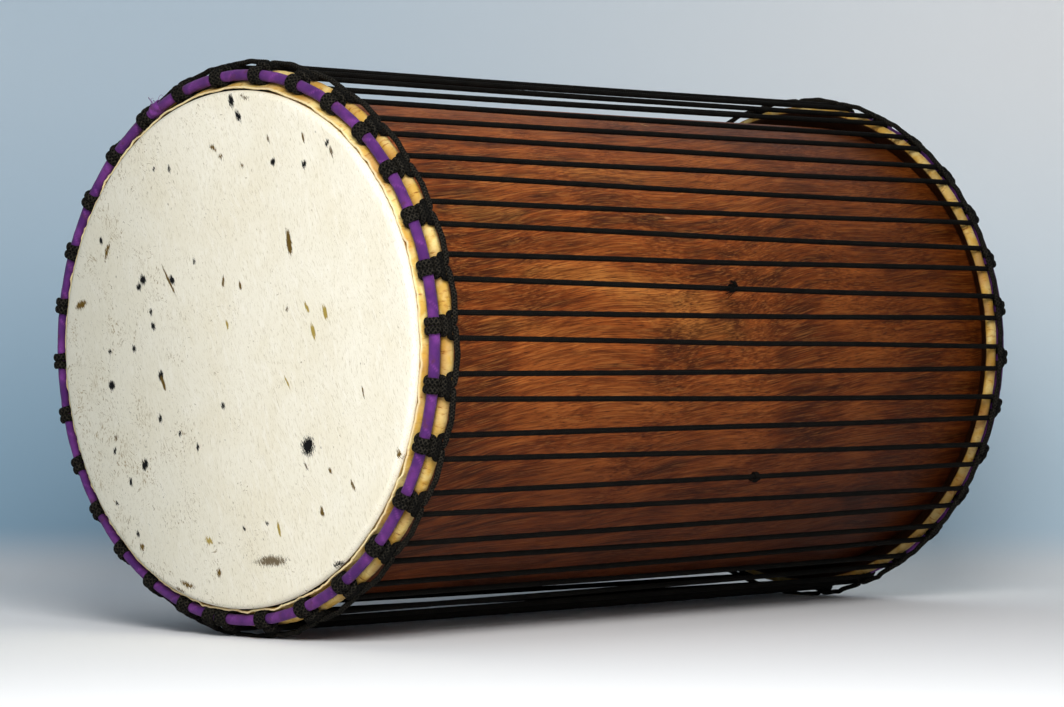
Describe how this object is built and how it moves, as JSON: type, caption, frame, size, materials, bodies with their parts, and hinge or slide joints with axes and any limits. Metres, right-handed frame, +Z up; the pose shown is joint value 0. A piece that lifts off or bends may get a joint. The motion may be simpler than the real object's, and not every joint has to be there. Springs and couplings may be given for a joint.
{
  "type": "dunun",
  "caption": "Rope-laced bass drum lying on its side: hollowed log shell, hair-on hide heads folded round steel hoops, cloth-wound crown hoops, hitched cradle ropes and zigzag lacing",
  "frame": {"origin": "centre of the bounding box's bottom face: on the surface the drum lies on, below the middle of its axis", "axes": "+Z up; the drum's axis along X, with the front head looking along -X and the back head along +X"},
  "size_m": [0.7164, 0.4493, 0.4481],
  "materials": {
    "wood": "oiled, fine figured grain along the axis",
    "hide": "hair left on, cream with dark spots; bare and golden at the fold",
    "cloth": "plain weave cotton strip, matte",
    "rope": "matte braided cord",
    "steel": "plain drawn rod"
  },
  "bodies": {
    "root": {"shell": "wood", "front_head_skin": "hide", "front_flesh_hoop": "steel", "front_crown_hoop": "steel", "front_crown_cloth": "cloth", "front_cradle_rope": "rope", "front_cloth_end": "cloth", "back_head_skin": "hide", "back_flesh_hoop": "steel", "back_crown_hoop": "steel", "back_crown_cloth": "cloth", "back_cradle_rope": "rope", "lacing_rope": "rope", "lacing_tie_upper": "rope", "lacing_tie_lower": "rope"}
  },
  "joints": []
}
